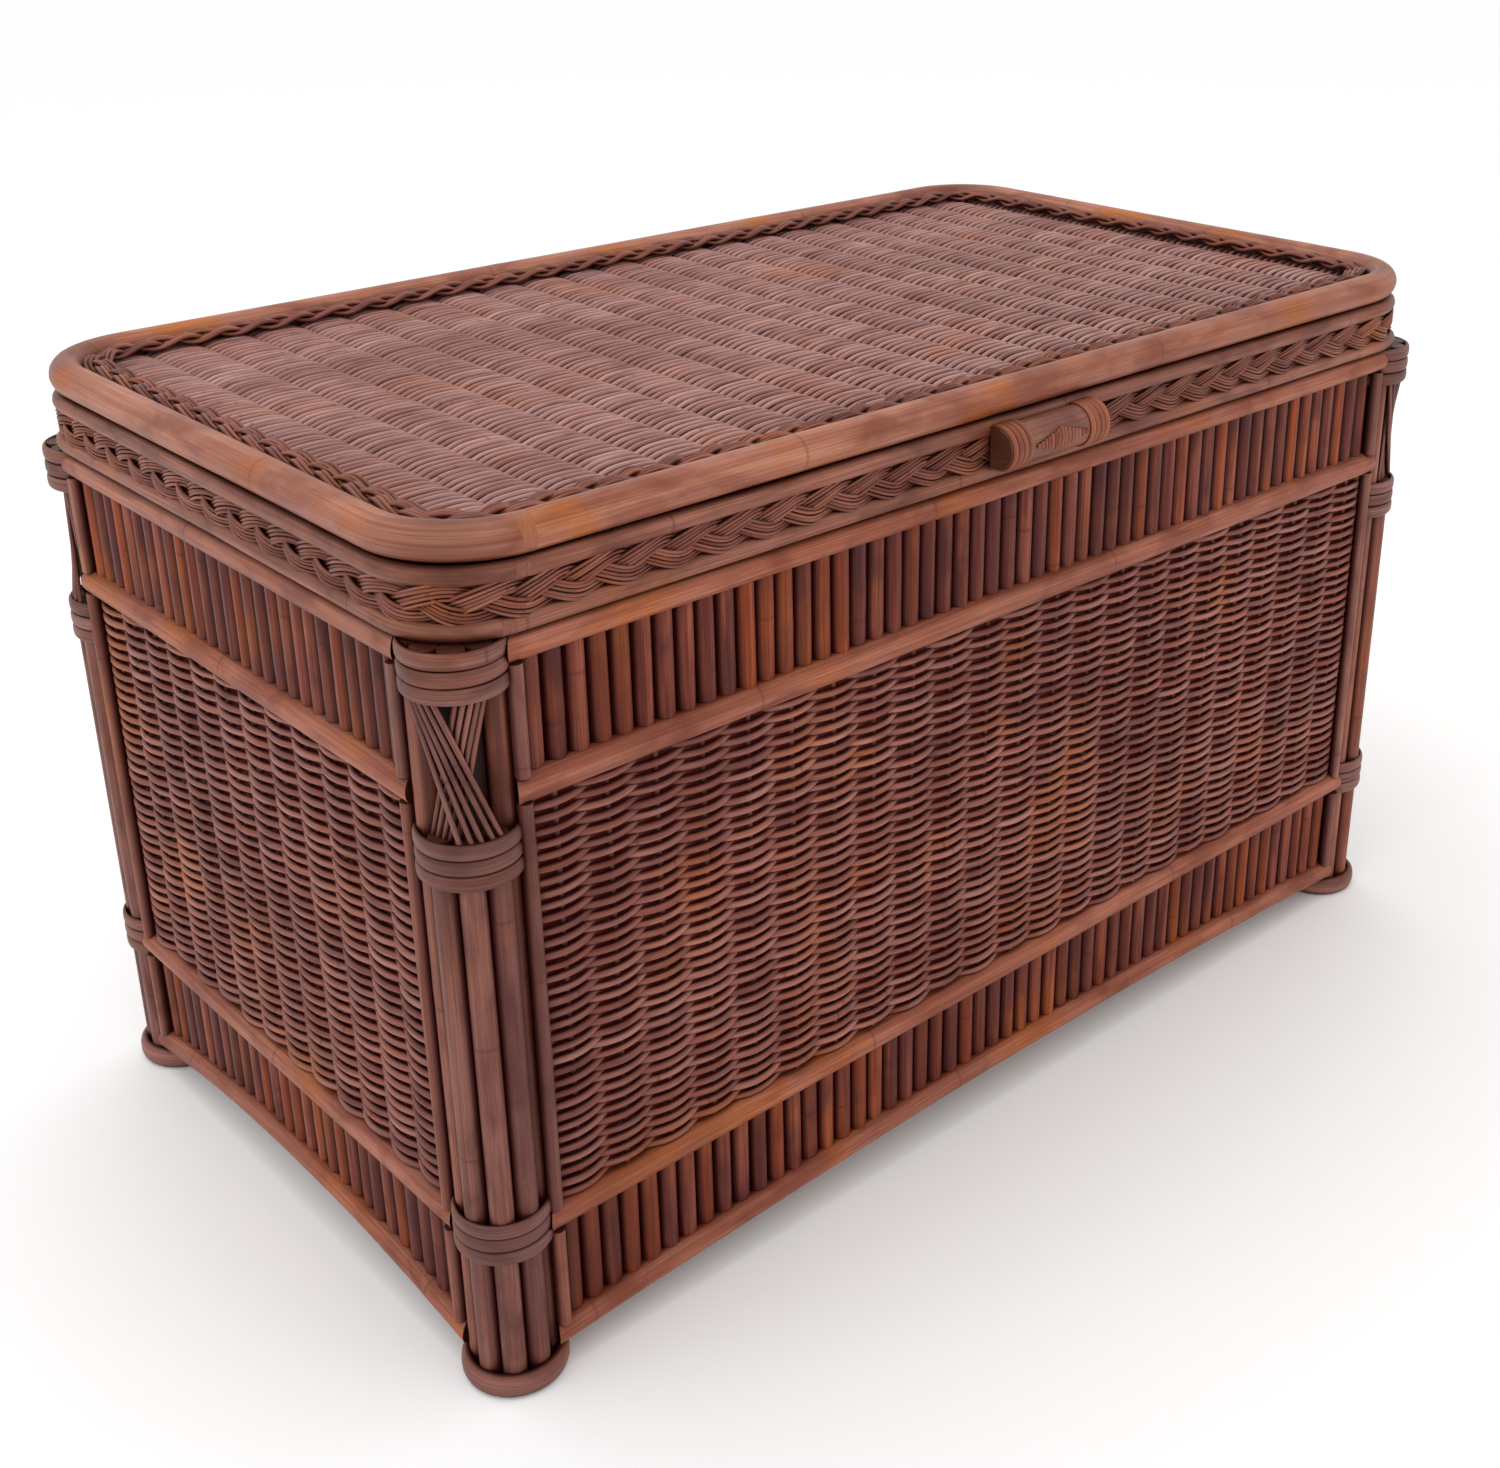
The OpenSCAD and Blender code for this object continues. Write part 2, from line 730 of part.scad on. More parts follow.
for (c = corners) {
  post_poles(c);
  post_bindings(c);
}
post_cores();
post_crossings();
foot_rings();
for (s = sides) {
  top_rail(s);
  upper_rail(s);
  lower_rail(s);
  bottom_rail(s);
  upper_reeds(s);
  lower_reeds(s);
  woven_panel(s);
}
panel_stiles();
reed_stiles();
bottom_board();
bottom_frame();
bottom_cross_bars();
lid_bottom_pole();
lid_braided_band();
lid_second_pole();
lid_top_pole();
lid_frame();
lid_cross_bars();
lid_woven_top();
lid_plaited_border();
handle_pole();
handle_bindings();
handle_lashing();
hinge_body_leaves();
hinge_lid_leaves();
hinge_pins();
hinge_body_screws();
hinge_lid_screws();
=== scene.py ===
import math

import bpy
import numpy as np
from mathutils import Matrix, Vector


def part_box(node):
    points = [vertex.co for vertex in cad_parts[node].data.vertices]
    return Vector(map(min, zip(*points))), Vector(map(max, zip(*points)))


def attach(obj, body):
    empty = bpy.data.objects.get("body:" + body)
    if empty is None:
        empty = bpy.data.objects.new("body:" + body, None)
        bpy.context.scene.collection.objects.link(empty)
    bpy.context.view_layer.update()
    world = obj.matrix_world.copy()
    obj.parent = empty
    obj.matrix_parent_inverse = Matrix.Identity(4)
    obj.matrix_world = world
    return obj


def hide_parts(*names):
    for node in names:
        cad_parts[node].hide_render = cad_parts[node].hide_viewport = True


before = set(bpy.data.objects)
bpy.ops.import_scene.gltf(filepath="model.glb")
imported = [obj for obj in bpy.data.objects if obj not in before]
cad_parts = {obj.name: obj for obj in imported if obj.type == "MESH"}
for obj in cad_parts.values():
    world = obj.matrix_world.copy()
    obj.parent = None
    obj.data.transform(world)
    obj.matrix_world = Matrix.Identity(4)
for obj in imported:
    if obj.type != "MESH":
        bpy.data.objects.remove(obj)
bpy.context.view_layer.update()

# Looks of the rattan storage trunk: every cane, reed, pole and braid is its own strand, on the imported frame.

rng = np.random.default_rng(7)

MM = 0.001
# Strands are shown a hair off the surface they lie on
HAIR = 0.05 * MM
SIDES = ("front", "back", "left", "right")
CORNERS = ("front_left", "front_right", "back_left", "back_right")

# ---------------------------------------------------------------- strands


def lengths(path):
    """Distance along a path at each of its points."""
    return np.concatenate([[0], np.cumsum(np.linalg.norm(np.diff(path, axis=0), axis=1))])


def unit(v):
    return v / np.maximum(np.linalg.norm(v, axis=-1, keepdims=True), 1e-12)


def round_section(d, sides=12):
    a = np.linspace(0, 2 * math.pi, sides, endpoint=False)
    return np.stack([np.cos(a), np.sin(a)], 1) * d / 2


def flat_section(width, thickness, power=2.4, steps=9):
    """A cane split flat: straight underneath and crowned on top."""
    x = np.cos(np.linspace(0, math.pi, steps))
    y = np.power(np.maximum(1 - np.abs(x) ** power, 0), 1 / power)
    return np.stack([x * width / 2, y * thickness], 1)


WANDER_WAVES = 4
# The height that the sum of the waves seldom passes
WANDER_PEAK = 1.6
KNOT_WIDTH = 6 * MM


def wander(s, amount, shortest=0.12, longest=0.7, loop=0.0):
    """A slow random drift along a strand. With loop set, it closes on itself."""
    total = np.zeros_like(s)
    for _ in range(WANDER_WAVES):
        wave = math.exp(rng.uniform(math.log(shortest), math.log(longest)))
        if loop:
            wave = loop / max(1, round(loop / wave))
        total += np.sin(2 * math.pi * (s / wave + rng.random())) * (wave / longest) ** 0.5
    return total * amount / WANDER_PEAK


def knots(s, size, loop=0.0, gap=(0.22, 0.42)):
    """The low rings a rattan cane has every few hands, as a factor on its thickness."""
    out = np.ones_like(s)
    at = rng.uniform(0, gap[1])
    end = loop - gap[0] if loop else s[-1]
    while at < end:
        out += size * np.exp(-(((s - at) / KNOT_WIDTH) ** 2))
        at += rng.uniform(*gap)
    return out


# The tone that marks a strand as the dark sheet behind a weave, painted shade for its gaps
SHADE_SHEET_TONE = -1


class Strands:
    """Collects swept strands into one mesh with grain coordinates in metres and a tone for each strand."""

    def __init__(self):
        self.co, self.grain, self.tone, self.cut = [], [], [], []
        self.corners, self.sizes, self.smooth = [], [], []
        self.count = 0

    def add(self, path, section, out, closed=False, swell=None, tone=None, mark=0.0, flat_ends=True):
        path = np.asarray(path, float)
        n, m = len(path), section.shape[-2]
        if closed:
            along = np.roll(path, -1, 0) - np.roll(path, 1, 0)
        else:
            along = np.gradient(path, axis=0)
        along = unit(along)
        out = np.broadcast_to(np.asarray(out, float), path.shape)
        out = unit(out - (out * along).sum(1)[:, None] * along)
        side = np.cross(out, along)
        size = np.ones(n) if swell is None else swell
        sec = np.broadcast_to(section, (n, m, 2)) * size[:, None, None]
        co = path[:, None] + sec[..., :1] * side[:, None] + sec[..., 1:] * out[:, None]
        s = lengths(path) + rng.uniform(0, 40)
        grain = np.concatenate([np.broadcast_to(s[:, None, None], (n, m, 1)), sec], 2)
        tone = rng.random() if tone is None else tone
        self._put(co, grain, tone, np.repeat(np.broadcast_to(mark, (n,)), m))
        i = np.arange(n if closed else n - 1)[:, None]
        j = np.arange(m)[None]
        ni, nj = (i + 1) % n, (j + 1) % m
        quads = np.stack([i * m + j, i * m + nj, ni * m + nj, ni * m + j], -1).reshape(-1, 4)
        self.corners.append((quads + self.count).ravel())
        self.sizes.append(np.full(len(quads), 4))
        self.smooth.append(np.ones(len(quads), bool))
        self.count += n * m
        if not closed and flat_ends:
            for k, order in ((0, np.arange(m)[::-1]), (n - 1, np.arange(m))):
                self._put(co[k], grain[k], tone, 1.0)
                self.corners.append(order + self.count)
                self.sizes.append(np.array([m]))
                self.smooth.append(np.zeros(1, bool))
                self.count += m
        return co

    def _put(self, co, grain, tone, cut):
        co = co.reshape(-1, 3)
        self.co.append(co)
        self.grain.append(grain.reshape(-1, 3))
        self.tone.append(np.full(len(co), tone))
        self.cut.append(np.broadcast_to(cut, (len(co),)).astype(float))

    def piece(self, name, body, nodes, slot, material):
        """Makes the mesh, hangs it on its body and lets it stand for its CAD nodes."""
        mesh = bpy.data.meshes.new(name)
        co = np.concatenate(self.co)
        corners, sizes = np.concatenate(self.corners), np.concatenate(self.sizes)
        mesh.vertices.add(len(co))
        mesh.vertices.foreach_set("co", co.ravel())
        mesh.loops.add(len(corners))
        mesh.loops.foreach_set("vertex_index", corners.astype(np.int32))
        mesh.polygons.add(len(sizes))
        starts = np.concatenate([[0], np.cumsum(sizes)[:-1]])
        mesh.polygons.foreach_set("loop_start", starts.astype(np.int32))
        mesh.polygons.foreach_set("use_smooth", np.concatenate(self.smooth))
        mesh.update(calc_edges=True)
        for label, kind, data in (
            ("grain", "FLOAT_VECTOR", self.grain),
            ("tone", "FLOAT", self.tone),
            ("cut", "FLOAT", self.cut),
        ):
            layer = mesh.attributes.new(label, kind, "POINT")
            field = "vector" if kind == "FLOAT_VECTOR" else "value"
            layer.data.foreach_set(field, np.concatenate(data).ravel())
        mesh.validate()
        mesh.materials.append(material)
        obj = bpy.data.objects.new(name, mesh)
        bpy.context.scene.collection.objects.link(obj)
        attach(obj, body)
        if nodes:
            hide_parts(*nodes)
        return obj


# ---------------------------------------------------------------- materials


def srgb(r, g, b):
    linear = (((c / 255 + 0.055) / 1.055) ** 2.4 if c > 10 else c / 255 / 12.92 for c in (r, g, b))
    return (*linear, 1.0)


class Shader:
    """A small helper around a material's node tree."""

    def __init__(self, name):
        self.material = bpy.data.materials.new(name)
        self.material.use_nodes = True
        self.tree = self.material.node_tree
        self.tree.nodes.clear()

    def node(self, kind, **settings):
        n = self.tree.nodes.new(kind)
        for key, value in settings.items():
            setattr(n, key, value)
        return n

    def feed(self, socket, value):
        if isinstance(value, bpy.types.NodeSocket):
            self.tree.links.new(value, socket)
        else:
            socket.default_value = value

    def attribute(self, name, output):
        return self.node("ShaderNodeAttribute", attribute_name=name).outputs[output]

    def math(self, operation, a, b=0.0):
        n = self.node("ShaderNodeMath", operation=operation)
        self.feed(n.inputs[0], a)
        self.feed(n.inputs[1], b)
        return n.outputs[0]

    def stretch(self, vector, scale):
        n = self.node("ShaderNodeVectorMath", operation="MULTIPLY")
        self.feed(n.inputs[0], vector)
        self.feed(n.inputs[1], scale)
        return n.outputs[0]

    def noise(self, vector, scale=1.0, detail=4.0, roughness=0.55, distortion=0.0):
        n = self.node("ShaderNodeTexNoise")
        self.feed(n.inputs["Vector"], vector)
        n.inputs["Scale"].default_value = scale
        n.inputs["Detail"].default_value = detail
        n.inputs["Roughness"].default_value = roughness
        n.inputs["Distortion"].default_value = distortion
        return n.outputs["Fac"]

    def between(self, value, low, high, to_low=0.0, to_high=1.0):
        n = self.node("ShaderNodeMapRange", interpolation_type="SMOOTHSTEP")
        self.feed(n.inputs["Value"], value)
        n.inputs["From Min"].default_value = low
        n.inputs["From Max"].default_value = high
        n.inputs["To Min"].default_value = to_low
        n.inputs["To Max"].default_value = to_high
        return n.outputs["Result"]

    def mix(self, factor, a, b):
        n = self.node("ShaderNodeMix", data_type="RGBA")
        self.feed(n.inputs[0], factor)
        self.feed(n.inputs[6], a)
        self.feed(n.inputs[7], b)
        return n.outputs[2]

    def bump(self, height, distance, strength=1.0, normal=None):
        n = self.node("ShaderNodeBump")
        n.inputs["Strength"].default_value = strength
        n.inputs["Distance"].default_value = distance
        self.feed(n.inputs["Height"], height)
        if normal is not None:
            self.feed(n.inputs["Normal"], normal)
        return n.outputs["Normal"]

    def surface(self, color, roughness, normal=None, **others):
        b = self.node("ShaderNodeBsdfPrincipled")
        self.feed(b.inputs["Base Color"], color)
        self.feed(b.inputs["Roughness"], roughness)
        if normal is not None:
            self.feed(b.inputs["Normal"], normal)
        for key, value in others.items():
            self.feed(b.inputs[key.replace("_", " ")], value)
        out = self.node("ShaderNodeOutputMaterial")
        self.tree.links.new(b.outputs["BSDF"], out.inputs["Surface"])
        return self.material


# Colours that every cane shares
ORANGE_STAIN = srgb(164, 82, 44)
PLUM_STAIN = srgb(92, 52, 58)
GOLDEN_SKIN = srgb(184, 112, 58)
GAP_SHADE = srgb(44, 6, 6)
CUT_MARK_AND_SHADE = srgb(62, 30, 22)
LEAF_RINGS_PER_METRE = 3.1


def cane(name, deep, body, light, spread=0.5, gloss=0.5, golden=0.25, coat=0.06, streak=1.0, warm=0.2,
         gap_shade=0.9, shade_sheet=srgb(74, 16, 12), flank_shade=None, vivid=1.07):
    """Stained and lacquered rattan. deep lies in the grain, and in the gaps as painted shade; light on worn
    skin.
    """
    s = Shader(name)
    grain = s.attribute("grain", "Vector")
    tone = s.attribute("tone", "Fac")
    cut = s.attribute("cut", "Fac")
    place = s.node("ShaderNodeTexCoord").outputs["Object"]
    fibre = s.noise(s.stretch(grain, (12, 1100, 1100)), detail=5, roughness=0.65)
    streaks = s.noise(s.stretch(grain, (7, 190, 190)), detail=4, roughness=0.62)
    blotch = s.noise(s.stretch(grain, (22, 50, 50)), detail=3, roughness=0.5, distortion=0.4)
    patch = s.noise(place, scale=13, detail=3, roughness=0.55)
    cloud = s.noise(place, scale=7, detail=2)

    color = s.mix(s.between(streaks, 0.34, 0.68), body, light)
    color = s.mix(s.between(blotch, 0.42, 0.72, 0, 0.7), color, deep)
    color = s.mix(s.between(tone, 0.0, 0.9, spread, 0.0), color, deep)
    color = s.mix(s.between(tone, 0.55, 1.0, 0.0, 0.4 * spread), color, light)
    # Strands take the stain differently: some stay orange, some go plum
    other = s.math("FRACT", s.math("MULTIPLY", tone, 7.31))
    color = s.mix(s.between(other, 0.55, 0.95, 0.0, warm), color, ORANGE_STAIN)
    color = s.mix(s.between(other, 0.45, 0.05, 0.0, 0.6 * warm), color, PLUM_STAIN)
    color = s.mix(s.between(patch, 0.50, 0.70, 0, golden), color, GOLDEN_SKIN)
    color = s.mix(s.between(cloud, 0.55, 0.38, 0, 0.3), color, deep)
    color = s.mix(s.between(fibre, 0.36, 0.60, 0.5 * streak, 0.0), color, deep)

    # A faint darker ring where a leaf once grew
    s_along = s.node("ShaderNodeSeparateXYZ")
    s.feed(s_along.inputs[0], grain)
    place_in_cycle = s.math("FRACT", s.math("MULTIPLY", s_along.outputs[0], LEAF_RINGS_PER_METRE))
    ring_distance = s.math("ABSOLUTE", s.math("SUBTRACT", place_in_cycle, 0.5))
    ring_mark = s.between(ring_distance, 0.0, 0.006, 0.45, 0.0)
    color = s.mix(ring_mark, color, deep)

    # Painted shade: the flanks that face a neighbour are darker, fading out at the given distances off the
    # strand's middle
    if flank_shade:
        front = s.math("ABSOLUTE", s_along.outputs[2])
        color = s.mix(s.between(front, flank_shade[0], flank_shade[1], 0.8, 0.0), color, deep)

    # Painted shade: the gaps and hollows go dark by ambient occlusion
    gap = s.node("ShaderNodeAmbientOcclusion", samples=6)
    gap.inputs["Distance"].default_value = 10 * MM
    color = s.mix(s.between(gap.outputs["AO"], 0.15, 0.90, gap_shade, 0.0), color, GAP_SHADE)
    # Cut ends and bend marks go darker: end grain and bending marks, made deeper as painted shade where the
    # ends sit in shadow
    color = s.mix(s.math("MULTIPLY", cut, 0.85), color, CUT_MARK_AND_SHADE)
    rich = s.node("ShaderNodeHueSaturation")
    rich.inputs["Saturation"].default_value = vivid
    rich.inputs["Value"].default_value = 0.97
    s.feed(rich.inputs["Color"], color)
    color = rich.outputs["Color"]
    # A negative tone is the dark sheet behind a weave: painted shade for its gaps
    color = s.mix(s.between(tone, -0.6, -0.1, 1.0, 0.0), color, shade_sheet)

    rough = s.between(streaks, 0.25, 0.8, gloss - 0.08, gloss + 0.14)
    normal = s.bump(fibre, 0.15 * MM, 0.8)
    normal = s.bump(streaks, 0.5 * MM, 0.6, normal)
    normal = s.bump(ring_mark, 0.4 * MM, 0.8, normal)
    return s.surface(color, rough, normal, Coat_Weight=coat, Coat_Roughness=0.3, Specular_IOR_Level=0.3,
                     Specular_Tint=(1.0, 0.84, 0.8, 1.0))


def timber(name, deep, light, stretch, gloss=0.6):
    """Plain stained wood for battens and boards, seen by object position."""
    s = Shader(name)
    place = s.node("ShaderNodeTexCoord").outputs["Object"]
    rings = s.noise(s.stretch(place, stretch), detail=5, roughness=0.6, distortion=0.6)
    pores = s.noise(s.stretch(place, tuple(v * 9 for v in stretch)), detail=3, roughness=0.7)
    color = s.mix(s.between(rings, 0.3, 0.7), deep, light)
    color = s.mix(s.between(pores, 0.3, 0.6, 0.4, 0.0), color, deep)
    # Painted shade: hollows and joints go dark by ambient occlusion
    gap = s.node("ShaderNodeAmbientOcclusion", samples=4)
    gap.inputs["Distance"].default_value = 14 * MM
    color = s.mix(s.between(gap.outputs["AO"], 0.2, 0.8, 0.6, 0.0), color, srgb(44, 22, 14))
    roughness = s.between(rings, 0.2, 0.8, gloss - 0.1, gloss + 0.15)
    return s.surface(color, roughness, s.bump(pores, 0.2 * MM, 0.6))


def old_brass(name):
    s = Shader(name)
    place = s.node("ShaderNodeTexCoord").outputs["Object"]
    cloud = s.noise(place, scale=160, detail=5, roughness=0.6)
    fine = s.noise(place, scale=1400, detail=3)
    color = s.mix(s.between(cloud, 0.35, 0.7), srgb(122, 92, 48), srgb(186, 150, 86))
    rough = s.between(cloud, 0.3, 0.75, 0.28, 0.52)
    return s.surface(color, rough, s.bump(fine, 0.05 * MM, 0.5), Metallic=1.0)


POST = cane("post rattan", srgb(72, 32, 30), srgb(134, 86, 75), srgb(172, 122, 108), spread=0.45, warm=0.3,
            flank_shade=(0.5 * MM, 4.5 * MM))
RAIL = cane("rail rattan", srgb(96, 46, 36), srgb(148, 92, 74), srgb(184, 130, 112),
            spread=0.25, warm=0.15, gap_shade=0.75, golden=0.35, vivid=1.12)
REED = cane("reed", srgb(50, 12, 14), srgb(106, 50, 43), srgb(162, 104, 88), spread=0.6, warm=0.34,
            flank_shade=(2.5 * MM, 6.2 * MM), vivid=1.2)
WEAVER = cane("weaver", srgb(74, 26, 24), srgb(138, 82, 74), srgb(178, 126, 114), spread=0.35, streak=0.6,
              golden=0.35, gap_shade=0.85)
# The lid's weave is the same cane as the sides' but lighter and greyer: painted light and sheen of the upward
# face
LID_WEAVER = cane("lid weaver", srgb(106, 60, 54), srgb(156, 112, 106), srgb(190, 150, 142),
                  spread=0.2, streak=0.5, coat=0.15, warm=0.12, gap_shade=0.45, shade_sheet=srgb(96, 48, 44))
BRAID = cane("braid cane", srgb(66, 22, 17), srgb(134, 78, 65), srgb(170, 116, 100),
             spread=0.35, streak=0.8, gap_shade=0.8)
LID_POLE = cane("lid pole", srgb(76, 34, 26), srgb(134, 84, 70), srgb(168, 116, 98), spread=0.15)
TOP_POLE = cane("top pole", srgb(110, 56, 42), srgb(158, 106, 90), srgb(188, 136, 114),
                spread=0.1, golden=0.65, coat=0.15, vivid=1.12)
BINDING = cane("binding cane", srgb(60, 28, 26), srgb(120, 78, 70), srgb(156, 112, 102),
               spread=0.3, warm=0.12)
# Near black: painted shade of the recess behind the crossed canes, where the core shows
CORE = cane("core pole", srgb(16, 4, 4), srgb(38, 13, 11), srgb(48, 18, 15),
            gloss=0.7, coat=0.0, golden=0.0, warm=0.0)
HANDLE = cane("handle pole", srgb(80, 42, 38), srgb(146, 96, 80), srgb(176, 126, 104), spread=0.2)
LASHING = cane("handle lashing", srgb(84, 38, 30), srgb(148, 90, 70), srgb(174, 116, 92),
               spread=0.2, golden=0.5, gap_shade=0.7)
BOARD = timber("base board", srgb(120, 80, 50), srgb(176, 132, 92), (4, 60, 60))
BATTEN_COLORS = srgb(112, 66, 40), srgb(164, 112, 74)
BATTEN = timber("batten", *BATTEN_COLORS, (6, 70, 70))
BATTEN_ACROSS = timber("cross batten", *BATTEN_COLORS, (70, 6, 70))
BRASS = old_brass("old brass")

# ---------------------------------------------------------------- places

left_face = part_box("top_rail_left")[0].x
front_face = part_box("top_rail_front")[0].y
back_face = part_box("top_rail_back")[1].y
right_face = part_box("top_rail_right")[1].x
mid_y = (front_face + back_face) / 2
body_x, body_y = (right_face - left_face) / 2, (back_face - front_face) / 2
body_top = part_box("post_poles_front_left")[1].z

TURN = {"front": 0, "right": 90, "back": 180, "left": 270}


def is_long(side):
    return side in ("front", "back")


def face_of(side):
    return body_y if is_long(side) else body_x


def axes_of(side):
    a = math.radians(TURN[side])
    return np.array([math.cos(a), math.sin(a), 0]), np.array([math.sin(a), -math.cos(a), 0])


def on_side(side, u, depth, z):
    """Points at u along a side, depth behind its face and height z."""
    along, out = axes_of(side)
    u, depth, z = np.broadcast_arrays(np.asarray(u, float), depth, z)
    base = np.array([0, mid_y, 0])
    flat = base + along * u[..., None] + out * (face_of(side) - depth)[..., None]
    return flat + np.array([0, 0, 1]) * z[..., None]


def extent(node, side):
    """The lowest and highest u of a node along its side, and its depths behind the face."""
    lo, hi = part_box(node)
    along, out = axes_of(side)
    middle = Vector((0, mid_y, 0))
    a, b = np.array(lo - middle), np.array(hi - middle)
    us = sorted((float(a @ along), float(b @ along)))
    ds = sorted((face_of(side) - float(a @ out), face_of(side) - float(b @ out)))
    return us, ds, (lo.z, hi.z)


def round_loop(s, half_x, half_y, r):
    """Points and outward normals at distances s round a rounded rectangle, counterclockwise from above."""
    total = loop_length(half_x, half_y, r)
    s = np.mod(s, total)
    points, normals = np.zeros((len(s), 3)), np.zeros((len(s), 3))
    start = 0.0
    for k in range(4):
        reach, line = (half_y, 2 * (half_x - r)) if k % 2 == 0 else (half_x, 2 * (half_y - r))
        turn = math.radians(90 * k - 90)
        n = np.array([math.cos(turn), math.sin(turn), 0])
        t = np.array([-math.sin(turn), math.cos(turn), 0])
        on = (s >= start) & (s < start + line)
        points[on] = n * reach + t * (s[on] - start - line / 2)[:, None]
        normals[on] = n
        start += line
        on = (s >= start) & (s <= start + math.pi * r / 2)
        a = turn + (s[on] - start) / r
        arm = np.stack([np.cos(a), np.sin(a), np.zeros_like(a)], 1)
        points[on] = n * (reach - r) + t * line / 2 + r * arm
        normals[on] = arm
        start += math.pi * r / 2
    return points + np.array([0, mid_y, 0]), normals


def loop_length(half_x, half_y, r):
    return 4 * (half_x + half_y) - 8 * r + 2 * math.pi * r


# ---------------------------------------------------------------- corner posts

POST_TURN, POLES = 12, 8
# Spacing of the points along the posts' poles and along the rails
POLE_POINTS, RAIL_POINTS = 12 * MM, 6 * MM
# Poles that face the corner, and stop where the canes cross, and the one that is lighter than the rest
CUT_POLES, LIGHT_POLE = (0, 1, 7), 2
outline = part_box("post_poles_front_left")
post_x = abs(outline[0].x + outline[1].x) / 2
post_y = mid_y - (outline[0].y + outline[1].y) / 2
wraps_lo, wraps_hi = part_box("post_bindings_front_left")
wrap_r = (wraps_hi.x - wraps_lo.x) / 2
foot_lo, foot_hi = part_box("foot_rings")
foot_r = foot_hi.x - post_x
POLE_D, RING_R = 15 * MM, 19.8 * MM
post_r = RING_R + POLE_D / 2
cross_lo, cross_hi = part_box("post_crossings")
WRAP_H, WRAP_PITCH, WRAP_TURNS = 9.6 * MM, 9.7 * MM, 3
WRAP_BASES = (wraps_lo.z, cross_lo.z - WRAP_TURNS * WRAP_PITCH, cross_hi.z)

# Canes in each of the two fans that cross, their thickness, and how far they reach under the bindings
CROSS_CANES, CROSS_D, CROSS_TUCK = 5, 3.3 * MM, 1 * MM
# The outer and the inner fan: depth in the post, then first angle and step at the top and at the bottom
CROSS_FANS = ((1.7 * MM, -57, 10.5, 3, 13), (6.7 * MM, 60, -11.5, -2, -11.5))

UP = np.array([0, 0, 1.0])


def corner_of(corner):
    x = -post_x if corner.endswith("left") else post_x
    y = mid_y + (-post_y if corner.startswith("front") else post_y)
    return x, y


OUTWARD = {"front_left": 225, "front_right": 315, "back_right": 45, "back_left": 135}


def ray(azimuth):
    """The level direction at an azimuth in degrees."""
    return np.array([math.cos(math.radians(azimuth)), math.sin(math.radians(azimuth)), 0])


def cylinder_point(x, y, r, azimuth, z):
    a = np.radians(azimuth)
    return np.stack([x + r * np.cos(a), y + r * np.sin(a), np.broadcast_to(z, np.shape(a))], -1)


def ring(strands, x, y, r, z, section, tilt=0.3 * MM):
    a = np.linspace(0, 360, 80, endpoint=False)
    lean, phase = rng.uniform(-tilt, tilt), rng.uniform(0, 360)
    path = cylinder_point(x, y, r, a, z + lean * np.cos(np.radians(a - phase)))
    out = cylinder_point(0, 0, 1, a, 0.0)
    strands.add(path, section, out, closed=True)


for corner in CORNERS:
    x, y = corner_of(corner)
    outward = OUTWARD[corner]
    poles = Strands()
    for k in range(POLES):
        azimuth = outward + POST_TURN + k * 360 / POLES
        px, py = x + RING_R * ray(azimuth)[0], y + RING_R * ray(azimuth)[1]
        runs = [(0.0, body_top)]
        if k in CUT_POLES:
            runs = [(0.0, cross_lo.z - CROSS_TUCK), (cross_hi.z + CROSS_TUCK, body_top)]
        tone = 0.95 if k == LIGHT_POLE else rng.random()
        for low, high in runs:
            z = np.linspace(low, high, max(4, int((high - low) / POLE_POINTS)))
            path = np.stack([px + wander(z, 0.12 * MM), py + wander(z, 0.12 * MM), z], 1)
            swell = knots(z, 0.02) * (1 + wander(z, 0.008))
            poles.add(path, round_section(POLE_D, 14), ray(azimuth), swell=swell, tone=tone)
    poles.piece("poles_" + corner, "trunk", ["post_poles_" + corner], "post_poles", POST)

    wraps = Strands()
    for base in WRAP_BASES:
        for k in range(WRAP_TURNS):
            r = post_r + HAIR + rng.uniform(-0.1, 0.1) * MM
            section = flat_section(WRAP_H, wrap_r - post_r, 3.0)
            ring(wraps, x, y, r, base + WRAP_H / 2 + k * WRAP_PITCH, section)
    wraps.piece("wraps_" + corner, "trunk", ["post_bindings_" + corner], "cane", BINDING)

crossings = Strands()
feet = Strands()
for corner in CORNERS:
    x, y = corner_of(corner)
    outward = OUTWARD[corner]
    for depth, high_from, high_step, low_from, low_step in CROSS_FANS:
        r = post_r - depth
        for i in range(CROSS_CANES):
            high = high_from + high_step * i + rng.uniform(-0.8, 0.8)
            low = low_from + low_step * i + rng.uniform(-0.8, 0.8)
            a = cylinder_point(x, y, r, outward + low, cross_lo.z - CROSS_TUCK)
            b = cylinder_point(x, y, r, outward + high, cross_hi.z + CROSS_TUCK)
            t = np.linspace(0, 1, 12)[:, None]
            bow = np.sin(math.pi * t) * ray(outward) * rng.uniform(0, 0.5) * MM
            crossings.add(a * (1 - t) + b * t + bow, round_section(CROSS_D, 8), ray(outward), flat_ends=False)
    foot_h = foot_hi.z - foot_lo.z
    ring(feet, x, y, post_r + HAIR, foot_h / 2, flat_section(foot_h, foot_r - post_r, 2.6), tilt=0)
crossings.piece("crossed_canes", "trunk", ["post_crossings"], "cane", BINDING)
feet.piece("feet", "trunk", ["foot_rings"], "foot_cane", POST)

# ---------------------------------------------------------------- rails


